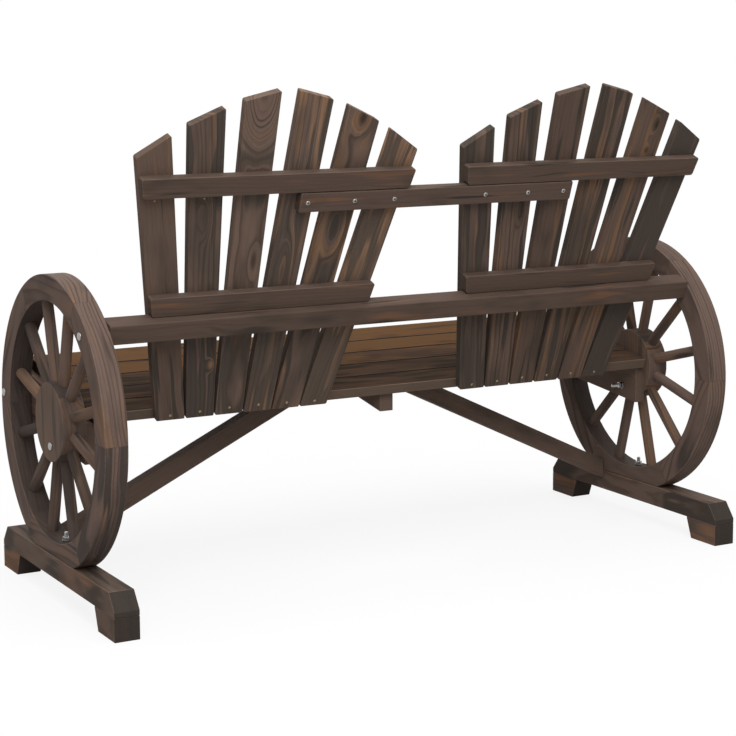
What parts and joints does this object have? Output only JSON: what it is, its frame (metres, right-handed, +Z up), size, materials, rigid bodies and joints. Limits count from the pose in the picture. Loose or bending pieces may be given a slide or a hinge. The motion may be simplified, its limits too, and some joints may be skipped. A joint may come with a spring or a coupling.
{
  "type": "wagon wheel garden bench",
  "caption": "Garden bench for two between fixed wagon wheels on sled feet, with fan-shaped slatted backs joined by a rail and a sloping slatted seat on braced bearers.",
  "frame": {"origin": "on the floor under the middle of the two sleds", "axes": "+Z up, +X along the bench to the left of a person sitting on it, -Y the way that person faces"},
  "size_m": [1.4066, 0.6, 0.9733],
  "materials": {
    "back_wood": "charred and brushed fir, dark brown with grey-black streaks, satin",
    "seat_wood": "charred and brushed fir, warmer brown, satin",
    "frame_wood": "charred and brushed fir, dark brown, satin",
    "wheel_wood": "charred and brushed fir, dark brown, satin",
    "plated_steel": "bright zinc plating"
  },
  "bodies": {
    "root": {"back_slat_left_1": "back_wood", "back_slat_left_2": "back_wood", "back_slat_left_3": "back_wood", "back_slat_left_4": "back_wood", "back_slat_left_5": "back_wood", "back_slat_left_6": "back_wood", "back_slat_right_1": "back_wood", "back_slat_right_2": "back_wood", "back_slat_right_3": "back_wood", "back_slat_right_4": "back_wood", "back_slat_right_5": "back_wood", "back_slat_right_6": "back_wood", "brace_left": "frame_wood", "brace_right": "frame_wood", "centre_bearer": "frame_wood", "crossbar_bolt_left": "plated_steel", "crossbar_bolt_right": "plated_steel", "end_bearer_left": "frame_wood", "end_bearer_right": "frame_wood", "felloe_left_1": "wheel_wood", "felloe_left_2": "wheel_wood", "felloe_left_3": "wheel_wood", "felloe_left_4": "wheel_wood", "felloe_left_5": "wheel_wood", "felloe_left_6": "wheel_wood", "felloe_right_1": "wheel_wood", "felloe_right_2": "wheel_wood", "felloe_right_3": "wheel_wood", "felloe_right_4": "wheel_wood", "felloe_right_5": "wheel_wood", "felloe_right_6": "wheel_wood", "foot_block_left_front": "frame_wood", "foot_block_left_rear": "frame_wood", "foot_block_right_front": "frame_wood", "foot_block_right_rear": "frame_wood", "hub_bolt_left": "plated_steel", "hub_bolt_right": "plated_steel", "hub_nut_left": "plated_steel", "hub_nut_right": "plated_steel", "joining_rail": "frame_wood", "lower_batten_left": "frame_wood", "lower_batten_right": "frame_wood", "rear_crossbar": "frame_wood", "rim_bolt_left": "plated_steel", "rim_bolt_right": "plated_steel", "seat_slat_1": "seat_wood", "seat_slat_2": "seat_wood", "seat_slat_3": "seat_wood", "seat_slat_4": "seat_wood", "seat_slat_5": "seat_wood", "sled_bolt_left": "plated_steel", "sled_bolt_right": "plated_steel", "sled_left": "frame_wood", "sled_nut_left": "plated_steel", "sled_nut_right": "plated_steel", "sled_right": "frame_wood", "spoked_hub_left": "wheel_wood", "spoked_hub_right": "wheel_wood", "upper_batten_left": "frame_wood", "upper_batten_right": "frame_wood"}
  },
  "joints": []
}
